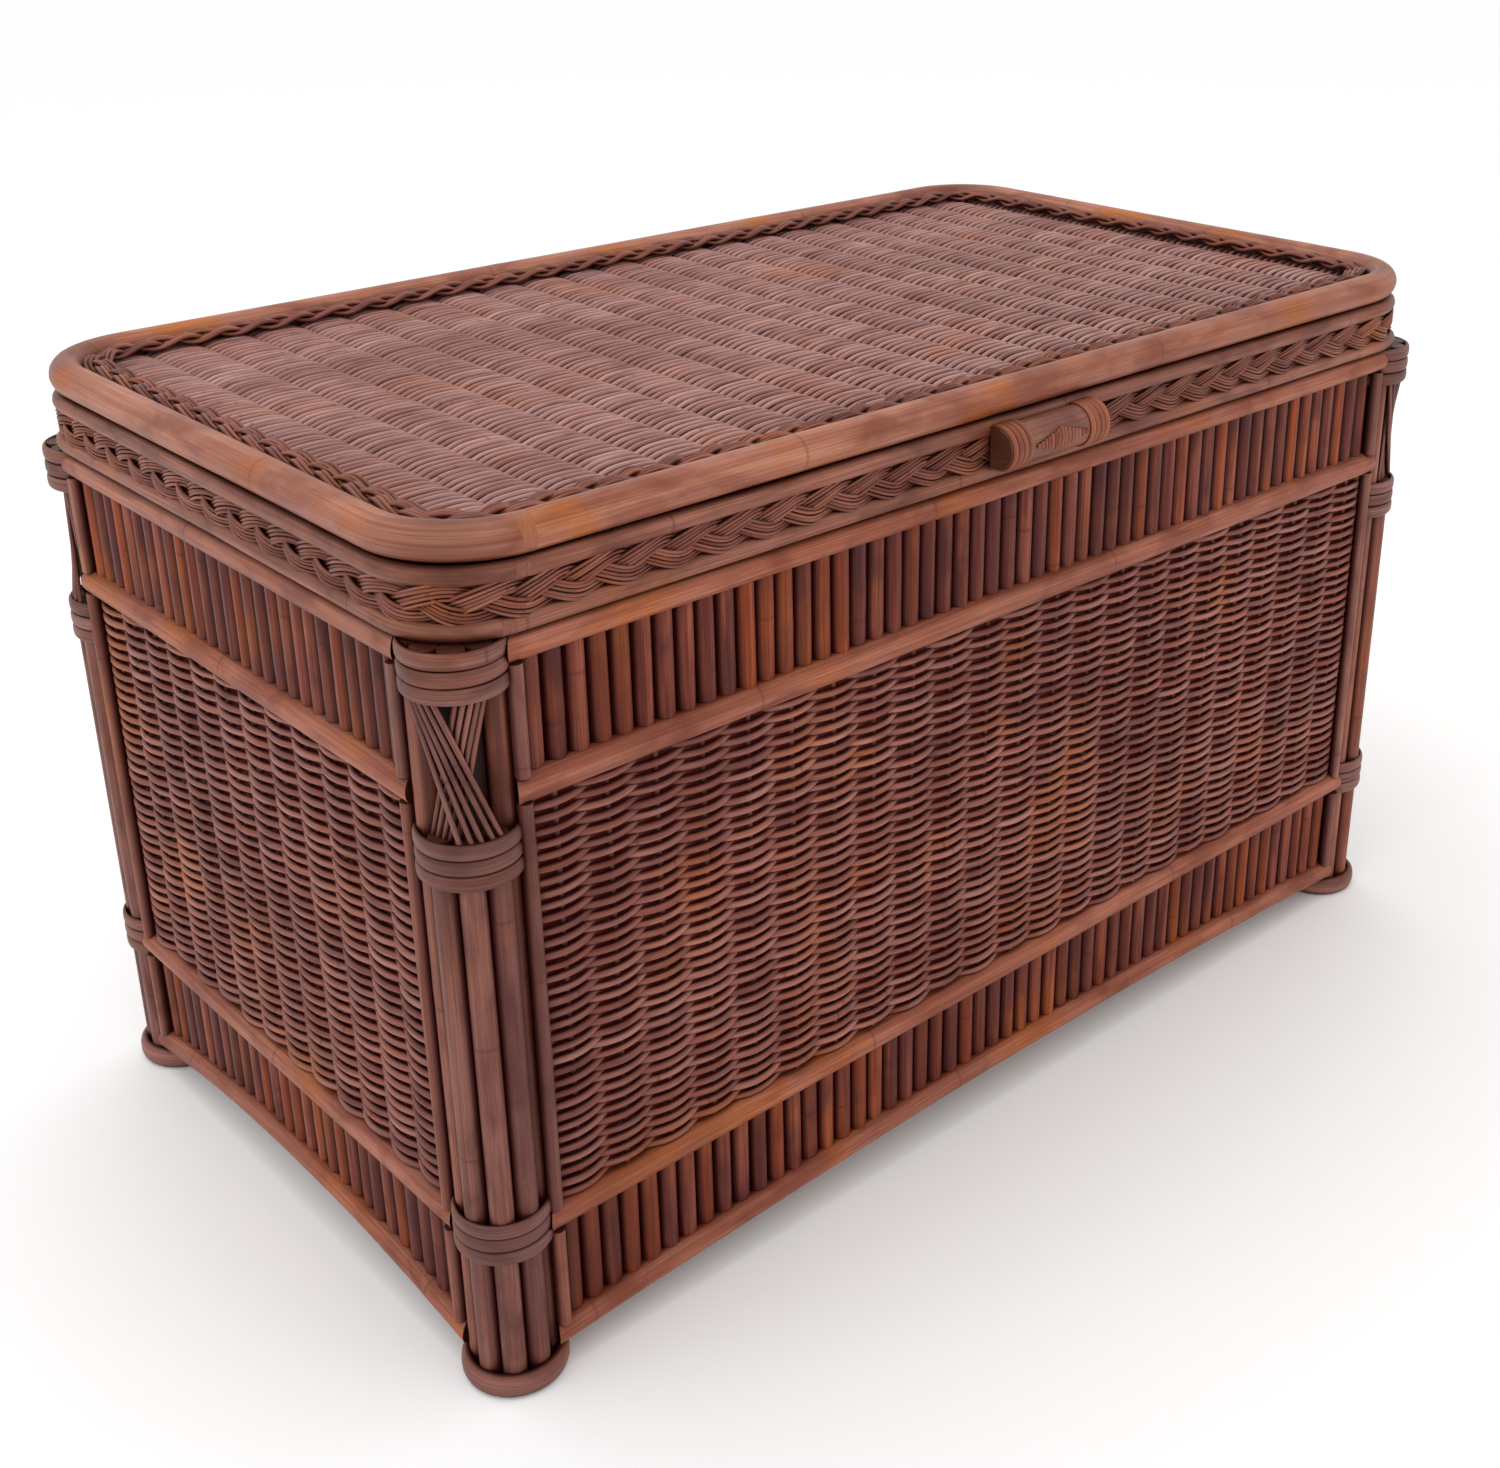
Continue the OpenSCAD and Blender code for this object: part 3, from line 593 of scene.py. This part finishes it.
def mitred(co, side, end, slant):
    """Slants a rail's ends so that their inner edge clears the round post."""
    along, out = axes_of(side)
    flat = co.reshape(-1, 3) - np.array([0, mid_y, 0])
    u, w = flat @ along, flat @ out
    limit = end - slant * (face_of(side) - w)
    shift = np.where(np.abs(u) > limit, np.sign(u) * limit - u, 0)
    flat = flat + along * shift[:, None]
    return (flat + np.array([0, mid_y, 0])).reshape(co.shape)


# How far each rail's ends are slanted to clear the round posts and their bindings
RAIL_SLANTS = (("top", 0.86), ("upper", 0.55), ("lower", 0.86), ("bottom", 0.55))
RAIL_WOBBLE = 0.22 * MM


def rail(band, side, slant):
    name = f"{band}_rail_{side}"
    (u0, u1), (d0, d1), (z0, z1) = extent(name, side)
    d = d1 - d0
    end = min(-u0, u1)
    u = np.linspace(-end, end, max(30, int(2 * end / RAIL_POINTS)))
    z = np.full_like(u, (z0 + z1) / 2)
    if band == "bottom":
        rise = (z1 - z0) - d
        bend = (end**2 + rise**2) / (2 * rise)
        z = z1 - d / 2 - bend + np.sqrt(bend**2 - u**2)
    z = z + wander(u, RAIL_WOBBLE)
    path = on_side(side, u, d / 2 + wander(u, RAIL_WOBBLE * 0.6), z)
    strands = Strands()
    swell = knots(u - u[0], 0.018) * (1 + wander(u, 0.006))
    co = strands.add(path, round_section(d, 22), axes_of(side)[1], swell=swell, tone=rng.uniform(0.35, 0.8))
    moved = mitred(co, side, end, slant)
    strands.co[0] = moved.reshape(-1, 3)
    strands.co[1], strands.co[2] = moved[0], moved[-1]
    strands.piece(f"{band}_pole_{side}", "trunk", [name], "rail_poles", RAIL)


for side in SIDES:
    for band, slant in RAIL_SLANTS:
        rail(band, side, slant)

# ---------------------------------------------------------------- reeds, stiles and woven panels


def arch_top(side, u):
    """Height of the bottom rail's upper side at u."""
    (u0, u1), (d0, d1), (z0, z1) = extent("bottom_rail_" + side, side)
    d, end = d1 - d0, (u1 - u0) / 2
    rise = z1 - z0 - d
    bend = (end**2 + rise**2) / (2 * rise)
    return z1 - bend + math.sqrt(bend**2 - u**2)


LONG_REEDS, SHORT_REEDS, REED_D = 53, 27, 14.2 * MM
# How far a reed reaches into the rails above and below it
REED_TUCK, REED_POINTS = 2.5 * MM, 8


def reeds(band, side):
    (u0, u1), (d0, d1), (z0, z1) = extent(f"{band}_reeds_{side}", side)
    count = LONG_REEDS if is_long(side) else SHORT_REEDS
    strands = Strands()
    for u in np.linspace(u0 + REED_D / 2, u1 - REED_D / 2, count):
        low = arch_top(side, abs(u)) if band == "lower" else z0
        z = np.linspace(low - REED_TUCK, z1 + REED_TUCK, REED_POINTS)
        d = REED_D * rng.uniform(0.94, 1.01)
        lean = rng.uniform(-0.25, 0.25) * MM
        across = u + lean * np.linspace(-1, 1, REED_POINTS) + wander(z, 0.1 * MM)
        path = on_side(side, across, (d0 + d1) / 2 + rng.uniform(-0.4, 0.4) * MM, z)
        swell = knots(z - z[0], 0.03, gap=(0.1, 0.5))
        strands.add(path, round_section(d, 14), axes_of(side)[1], swell=swell, tone=rng.beta(1.6, 1.6))
    strands.piece(f"{band}_canes_{side}", "trunk", [f"{band}_reeds_{side}"], "reeds", REED)


# Sides of a weaver's section, its points for each stake, and how far it is pressed flat
WEAVER_SIDES, WEAVER_STEPS, WEAVER_FLATNESS = 6, 8, np.array([1.0, 0.92])


def weave(strands, rows, starts, ends, stakes, pitch, place, across, amplitude, d, flat=0.6):
    """Weavers that pass in front of one stake and behind the next. place(u, row, lift) gives the points."""
    for i, row in enumerate(rows):
        u = np.linspace(starts[i], ends[i], int((ends[i] - starts[i]) / pitch * WEAVER_STEPS) + 1)
        phase = (u - stakes[0]) / pitch
        over_under = np.tanh(flat * np.cos(math.pi * (phase + i))) / math.tanh(flat)
        lift = amplitude * over_under * (1 + wander(u, 0.06))
        lift = lift + wander(u, 0.12 * MM)
        drift = wander(u, 0.28 * MM, 0.03, 0.3) + rng.uniform(-0.15, 0.15) * MM
        path = place(u, row + drift, lift)
        section = round_section(d * rng.uniform(0.88, 1.08), WEAVER_SIDES) * WEAVER_FLATNESS
        strands.add(path, section, across, swell=1 + wander(u, 0.05, 0.05, 0.4), flat_ends=False)


LONG_STAKES, SHORT_STAKES, STAKE_D = 23, 12, 4.6 * MM
ROW_PITCH, WEAVER_D, PANEL_AMPLITUDE = 3.95 * MM, 4.9 * MM, 4.1 * MM
# Half the thickness of the dark sheet behind a weave, painted shade for its gaps, and how far the sheet
# reaches past the weave
SHADE_SHEET_HALF = 0.4 * MM
SHADE_SHEET_SIDE_REACH, SHADE_SHEET_END_REACH = 2 * MM, 1 * MM


def panel(side):
    (u0, u1), (d0, d1), (z0, z1) = extent("woven_panel_" + side, side)
    depth = (d0 + d1) / 2
    count = LONG_STAKES if is_long(side) else SHORT_STAKES
    pitch = (u1 - u0) / count
    stakes = u0 + pitch * (np.arange(count) + 0.5)
    n = round((z1 - z0) / ROW_PITCH)
    rows = z0 + (z1 - z0) * (np.arange(n) + 0.5) / n
    strands = Strands()
    out = axes_of(side)[1]
    weave(strands, rows, np.full(n, u0), np.full(n, u1), stakes, pitch,
          lambda u, z, lift: on_side(side, u, depth - lift, z), out, PANEL_AMPLITUDE, WEAVER_D)
    for u in stakes:
        z = np.linspace(z0, z1, 20)
        path = on_side(side, u + wander(z, 0.4 * MM), depth, z)
        strands.add(path, round_section(STAKE_D, 8), out, tone=0.1)
    # A dark sheet at the weave's middle: painted shade for the gaps between the weavers
    corners = np.array([(1, 1), (-1, 1), (-1, -1), (1, -1)])
    shade_sheet = corners * ((u1 - u0) / 2 + SHADE_SHEET_SIDE_REACH, SHADE_SHEET_HALF)
    z = np.array([z0 - SHADE_SHEET_END_REACH, z1 + SHADE_SHEET_END_REACH])
    strands.add(on_side(side, 0, depth, z), shade_sheet, out, tone=SHADE_SHEET_TONE)
    strands.piece("weave_" + side, "trunk", ["woven_panel_" + side], "panel_weave", WEAVER)


for side in SIDES:
    reeds("upper", side)
    reeds("lower", side)
    panel(side)

STILE_D = 9 * MM
STILE_R = STILE_D / 2
# How far the stiles of the panels and of the reed bands reach into the rails
PANEL_STILE_TUCK, BAND_STILE_TUCK = 2 * MM, 0.5 * MM

stiles = Strands()
for side in SIDES:
    (u0, u1), (d0, d1), (z0, z1) = extent("woven_panel_" + side, side)
    for end in (-1, 1):
        u = end * (max(-u0, u1) + STILE_R)
        z = np.linspace(z0 - PANEL_STILE_TUCK, z1 + PANEL_STILE_TUCK, 30)
        path = on_side(side, u + wander(z, 0.15 * MM), STILE_R + wander(z, 0.15 * MM), z)
        stiles.add(path, round_section(STILE_D, 14), axes_of(side)[1], swell=knots(z - z[0], 0.03))
stiles.piece("panel_side_canes", "trunk", ["panel_stiles"], "stiles", POST)

band_stiles = Strands()
for side in SIDES:
    u = max(np.abs(extent("woven_panel_" + side, side)[0])) + STILE_R
    for band in ("upper", "lower"):
        z0, z1 = extent(f"{band}_reeds_{side}", side)[2]
        low = arch_top(side, u) if band == "lower" else z0
        for end in (-u, u):
            z = np.linspace(low - BAND_STILE_TUCK, z1 + BAND_STILE_TUCK, 12)
            path = on_side(side, end + wander(z, 0.1 * MM), STILE_R, z)
            band_stiles.add(path, round_section(STILE_D, 14), axes_of(side)[1], tone=rng.uniform(0.2, 0.9))
band_stiles.piece("band_side_canes", "trunk", ["reed_stiles"], "stiles", POST)

# ---------------------------------------------------------------- lid

# Poles bent round the lid: how they wander, how much thicker than the CAD's they are, and their tone
POLE_WOBBLE, POLE_SWELL, POLE_TONE = 0.14 * MM, 1.02, 0.6
POLE_POINT_PITCH, BEND_MARK = 8 * MM, 0.5


def bent_pole(node, name, corner_r, material, slot, sides=24):
    lo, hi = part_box(node)
    d = hi.z - lo.z
    half_x, half_y, r = (hi.x - lo.x - d) / 2, (hi.y - lo.y - d) / 2, corner_r - d / 2
    total = loop_length(half_x, half_y, r)
    s = np.linspace(0, total, int(total / POLE_POINT_PITCH), endpoint=False)
    points, normals = round_loop(s, half_x, half_y, r)
    points = points + normals * wander(s, POLE_WOBBLE, loop=total)[:, None]
    points[:, 2] += (lo.z + hi.z) / 2 + wander(s, POLE_WOBBLE, loop=total)
    swell = POLE_SWELL * knots(s, 0.015, loop=total) * (1 + wander(s, 0.006, loop=total))
    bends = np.abs(normals[:, 0] * normals[:, 1]) * 2
    strands = Strands()
    strands.add(points, round_section(d, sides), normals, closed=True, swell=swell,
                tone=POLE_TONE, mark=BEND_MARK * bends)
    strands.piece(name, "lid", [node], slot, material)


bent_pole("lid_bottom_pole", "lid_low_pole", 51 * MM, LID_POLE, "lid_poles")
bent_pole("lid_second_pole", "lid_middle_pole", 62 * MM, LID_POLE, "lid_poles")
bent_pole("lid_top_pole", "lid_rim_pole", 68 * MM, TOP_POLE, "lid_top_pole", sides=32)

PLAIT_STRANDS, PLAIT_POINT_PITCH, PLAIT_CLOSENESS = 3, 4.2 * MM, 0.98


def plait(strands, half_x, half_y, r, z, wave, reach, rise, canes, d, standing):
    """A flat plait round the lid, its strands each of several canes. standing: against the lid's side."""
    total = loop_length(half_x, half_y, r)
    wave = total / round(total / wave)
    s = np.linspace(0, total, int(total / PLAIT_POINT_PITCH), endpoint=False)
    points, normals = round_loop(s, half_x, half_y, r)
    up = np.broadcast_to(UP, points.shape)
    wide, thick = (up, normals) if standing else (normals, up)
    for k in range(PLAIT_STRANDS):
        angle = 2 * math.pi * (s / wave + k / PLAIT_STRANDS)
        slope = np.cos(angle) * reach * 2 * math.pi / wave
        for c in range(canes):
            off = (c - (canes - 1) / 2) * d * PLAIT_CLOSENESS
            # The canes of a strand lie side by side, square to the way the strand runs
            lateral = reach * np.sin(angle) + off * np.sqrt(1 + slope**2)
            lateral = lateral + wander(s, 0.35 * MM, 0.04, 0.3, loop=total)
            depth = rise * np.sin(2 * angle) + wander(s, 0.15 * MM, 0.04, 0.3, loop=total)
            path = points + wide * lateral[:, None] + thick * depth[:, None]
            path[:, 2] += z
            section = round_section(d * rng.uniform(0.92, 1.05), 8)
            swell = 1 + wander(s, 0.04, 0.05, 0.4, loop=total)
            strands.add(path, section, thick, closed=True, swell=swell)


lo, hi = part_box("lid_braided_band")
BAND_T, BAND_CORNER_R = 8 * MM, 57 * MM
band = Strands()
plait(band, (hi.x - lo.x - BAND_T) / 2, (hi.y - lo.y - BAND_T) / 2, BAND_CORNER_R - BAND_T / 2,
      (lo.z + hi.z) / 2,
      wave=99 * MM, reach=7.4 * MM, rise=2.4 * MM, canes=5, d=2.2 * MM, standing=True)
band.piece("braided_band", "lid", ["lid_braided_band"], "braid", BRAID)

lo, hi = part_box("lid_plaited_border")
BORDER_W, BORDER_CORNER_R = 17 * MM, 45.7 * MM
border = Strands()
plait(border, (hi.x - lo.x - BORDER_W) / 2, (hi.y - lo.y - BORDER_W) / 2, BORDER_CORNER_R - BORDER_W / 2,
      (lo.z + hi.z) / 2, wave=87 * MM, reach=4.4 * MM, rise=2.5 * MM, canes=3, d=3.0 * MM, standing=False)
border.piece("plaited_border", "lid", ["lid_plaited_border"], "braid", BRAID)

lo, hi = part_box("lid_woven_top")
TOP_STAKES, TOP_PITCH, TOP_D, TOP_AMP, TOP_FLAT = 22, 3.42 * MM, 4.4 * MM, 3.0 * MM, 1.7
# Each stake is a flat bundle of thin rods
BUNDLE_RODS, BUNDLE_HALF, BUNDLE_ROD_D = 5, 8 * MM, 3.9 * MM
# Gaps: rim to first row, rim to the rows' ends, rim to the stakes' ends, border to the outer stakes
ROW_GAP, ROW_END_GAP, STAKE_END_GAP, STAKE_GAP = 3 * MM, 1 * MM, 2 * MM, 1 * MM
# Corner radii of the weave and of the dark sheet of painted shade, and how far in the sheet's corner centres
# lie
ROW_CORNER_R, SHEET_CORNER_R, SHEET_CORNER_AT = 45 * MM, 44 * MM, 46 * MM
inner_x = (hi.x - lo.x) / 2
inner_y = (hi.y - lo.y) / 2
weave_half = inner_x - BORDER_W - STAKE_GAP
pitch = 2 * weave_half / TOP_STAKES
stakes = -weave_half + pitch * (np.arange(TOP_STAKES) + 0.5)
weave_z = hi.z - TOP_AMP - TOP_D / 2
rows_half = inner_y - ROW_GAP
n = round(2 * rows_half / TOP_PITCH)
rows = mid_y - rows_half + 2 * rows_half * (np.arange(n) + 0.5) / n
reach_x = inner_x - ROW_END_GAP
for part, chosen in (("near", slice(0, n // 2)), ("far", slice(n // 2, n))):
    top = Strands()
    part_rows = rows[chosen]
    inset = np.maximum(np.abs(part_rows - mid_y) - (inner_y - SHEET_CORNER_AT), 0)
    ends = reach_x - ROW_CORNER_R + np.sqrt(np.maximum(ROW_CORNER_R**2 - inset**2, 0))
    offset = 0 if part == "near" else n // 2
    weave(top, part_rows, -ends, ends, stakes - pitch * offset, pitch,
          lambda u, y, lift: np.stack([u, y, weave_z + lift], 1), UP, TOP_AMP, TOP_D, flat=TOP_FLAT)
    if part == "near":
        for u in stakes:
            y = np.linspace(mid_y - inner_y + STAKE_END_GAP, mid_y + inner_y - STAKE_END_GAP, 16)
            for off in np.linspace(-BUNDLE_HALF, BUNDLE_HALF, BUNDLE_RODS):
                path = np.stack([u + off + wander(y, 0.3 * MM), y, np.full_like(y, weave_z)], 1)
                top.add(path, round_section(BUNDLE_ROD_D, 8), UP, tone=0.05)
        # The dark sheet of painted shade for the weave's gaps: a rounded rectangle at the middle of the weave
        corner = np.radians(np.arange(0, 91, 15))
        quarter = np.stack([np.cos(corner), np.sin(corner)], 1) * SHEET_CORNER_R
        centre = np.array([inner_x - SHEET_CORNER_AT, inner_y - SHEET_CORNER_AT])
        sheet = np.concatenate([
            (quarter * flip)[::flip[0] * flip[1]] + centre * flip
            for flip in ((1, 1), (-1, 1), (-1, -1), (1, -1))
        ])
        middle = np.array([(0, mid_y, weave_z - SHADE_SHEET_HALF), (0, mid_y, weave_z + SHADE_SHEET_HALF)])
        top.add(middle, sheet, (0, 1, 0), tone=SHADE_SHEET_TONE)
    top.piece("woven_top_" + part, "lid", ["lid_woven_top"], "lid_weave", LID_WEAVER)

# ---------------------------------------------------------------- handle

lo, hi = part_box("handle_pole")
handle_x = (hi.x - lo.x) / 2
HANDLE_R = (hi.z - lo.z) / 2
handle_y, handle_z = lo.y + HANDLE_R, (lo.z + hi.z) / 2
flat_back = hi.y - handle_y
half_arc = math.acos(-flat_back / HANDLE_R)
arc = np.linspace(-half_arc, half_arc, 24)
# In the section, x runs up the lid's side and y runs out from it
grip = np.stack([np.sin(arc)[::-1], np.cos(arc)[::-1]], 1) * HANDLE_R
u = np.linspace(-handle_x, handle_x, 24)
pole = Strands()
path = np.stack([u, np.full_like(u, handle_y), np.full_like(u, handle_z)], 1)
pole.add(path, grip, (0, -1, 0), swell=1 + 0.01 * np.cos(math.pi * u / handle_x), tone=0.55)
pole.piece("handle_grip", "lid", ["handle_pole"], "handle_pole", HANDLE)


def round_handle(x, r, from_angle, to_angle, steps=28):
    a = np.linspace(from_angle, to_angle, steps)
    path = np.stack([np.broadcast_to(x, a.shape), handle_y - r * np.cos(a), handle_z + r * np.sin(a)], 1)
    return path, np.stack([np.zeros_like(a), -np.cos(a), np.sin(a)], 1)


HANDLE_TURNS, TURN_W, TURN_T, TURN_INSET = 4, 4.7 * MM, 1.7 * MM, 3.3 * MM
turns = Strands()
for end in (-1, 1):
    for k in range(HANDLE_TURNS):
        x = end * (handle_x - TURN_INSET - k * TURN_W)
        path, out = round_handle(x, HANDLE_R + HAIR, -half_arc, half_arc)
        path[:, 0] += wander(np.linspace(0, 0.06, len(path)), 0.2 * MM)
        turns.add(path, flat_section(TURN_W, TURN_T, 2.6), out)
turns.piece("handle_turns", "lid", ["handle_bindings"], "cane", LASHING)

# The lozenge: turns on each side of the middle one, their pitch, width and thickness
SIDE_TURNS, LOZENGE_PITCH, LOZENGE_W, LOZENGE_T = 7, 3.2 * MM, 3.3 * MM, 1.5 * MM
# Half the sweep of the middle turn, in radians
LOZENGE_SWEEP = 0.56
lozenge = Strands()
for k in range(-SIDE_TURNS, SIDE_TURNS + 1):
    x = k * LOZENGE_PITCH
    sweep = (1 - abs(k) / (SIDE_TURNS + 1.5)) * LOZENGE_SWEEP
    path, out = round_handle(x, HANDLE_R + HAIR, -sweep, sweep, 14)
    lozenge.add(path, flat_section(LOZENGE_W, LOZENGE_T, 2.4), out, tone=0.4 + 0.05 * (k % 3))
lozenge.piece("handle_lozenge", "lid", ["handle_lashing"], "cane", LASHING)

# ---------------------------------------------------------------- plain CAD parts

for material, names in (
    (CORE, ("post_cores",)),
    (BOARD, ("bottom_board",)),
    (BATTEN, ("bottom_frame", "lid_frame")),
    (BATTEN_ACROSS, ("bottom_cross_bars", "lid_cross_bars")),
    (BRASS, ("hinge_body_leaves", "hinge_lid_leaves", "hinge_pins", "hinge_body_screws", "hinge_lid_screws")),
):
    for name in names:
        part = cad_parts[name]
        part.data.materials.clear()
        part.data.materials.append(material)

# ---------------------------------------------------------------- room, light and camera

FLOOR_SIZE = 90
bpy.ops.mesh.primitive_plane_add(size=FLOOR_SIZE, location=(0, 0, 0))
floor = bpy.context.active_object
floor.name = "floor"
paper = Shader("paper")
floor.data.materials.append(paper.surface(srgb(253, 253, 253), 0.9, Specular_IOR_Level=0.1))

world = bpy.data.worlds.new("studio")
bpy.context.scene.world = world
world.use_nodes = True
world.node_tree.nodes["Background"].inputs["Color"].default_value = (1, 1, 1, 1)
world.node_tree.nodes["Background"].inputs["Strength"].default_value = 1.0
bpy.context.scene.view_settings.view_transform = "Standard"


def soft_box(name, place, aim, size, power, color):
    light = bpy.data.lights.new(name, "AREA")
    light.shape = "SQUARE"
    light.size = size
    light.energy = power
    light.color = color
    obj = bpy.data.objects.new(name, light)
    obj.location = place
    obj.rotation_euler = (Vector(aim) - Vector(place)).to_track_quat("-Z", "Y").to_euler()
    bpy.context.scene.collection.objects.link(obj)


soft_box("key", (-2.6, 0.3, 2.2), (0, 0, 0.3), 1.6, 11, (0.88, 0.94, 1.0))
soft_box("overhead", (-0.4, 0.3, 3.0), (0, 0, 0.4), 2.0, 16, (1.0, 0.98, 0.96))
soft_box("fill", (0.6, -3.0, 1.4), (0, 0, 0.3), 2.0, 7, (1.0, 0.88, 0.76))

camera = bpy.data.cameras.new("camera")
camera.sensor_width = 36
camera.lens = 46.375
camera.shift_x = -0.0667
camera.shift_y = -0.076
eye = bpy.data.objects.new("camera", camera)
right = Vector((0.7314551, -0.6818874, -0.0017602))
down = Vector((-0.2690341, -0.2862168, -0.9196198))
ahead = Vector((0.6265733, 0.6731341, -0.3928057))
turned = Matrix((right, -down, -ahead)).transposed().to_4x4()
eye.matrix_world = Matrix.Translation((-0.8987727, -1.0317786, 0.8903581)) @ turned
bpy.context.scene.collection.objects.link(eye)
bpy.context.scene.camera = eye
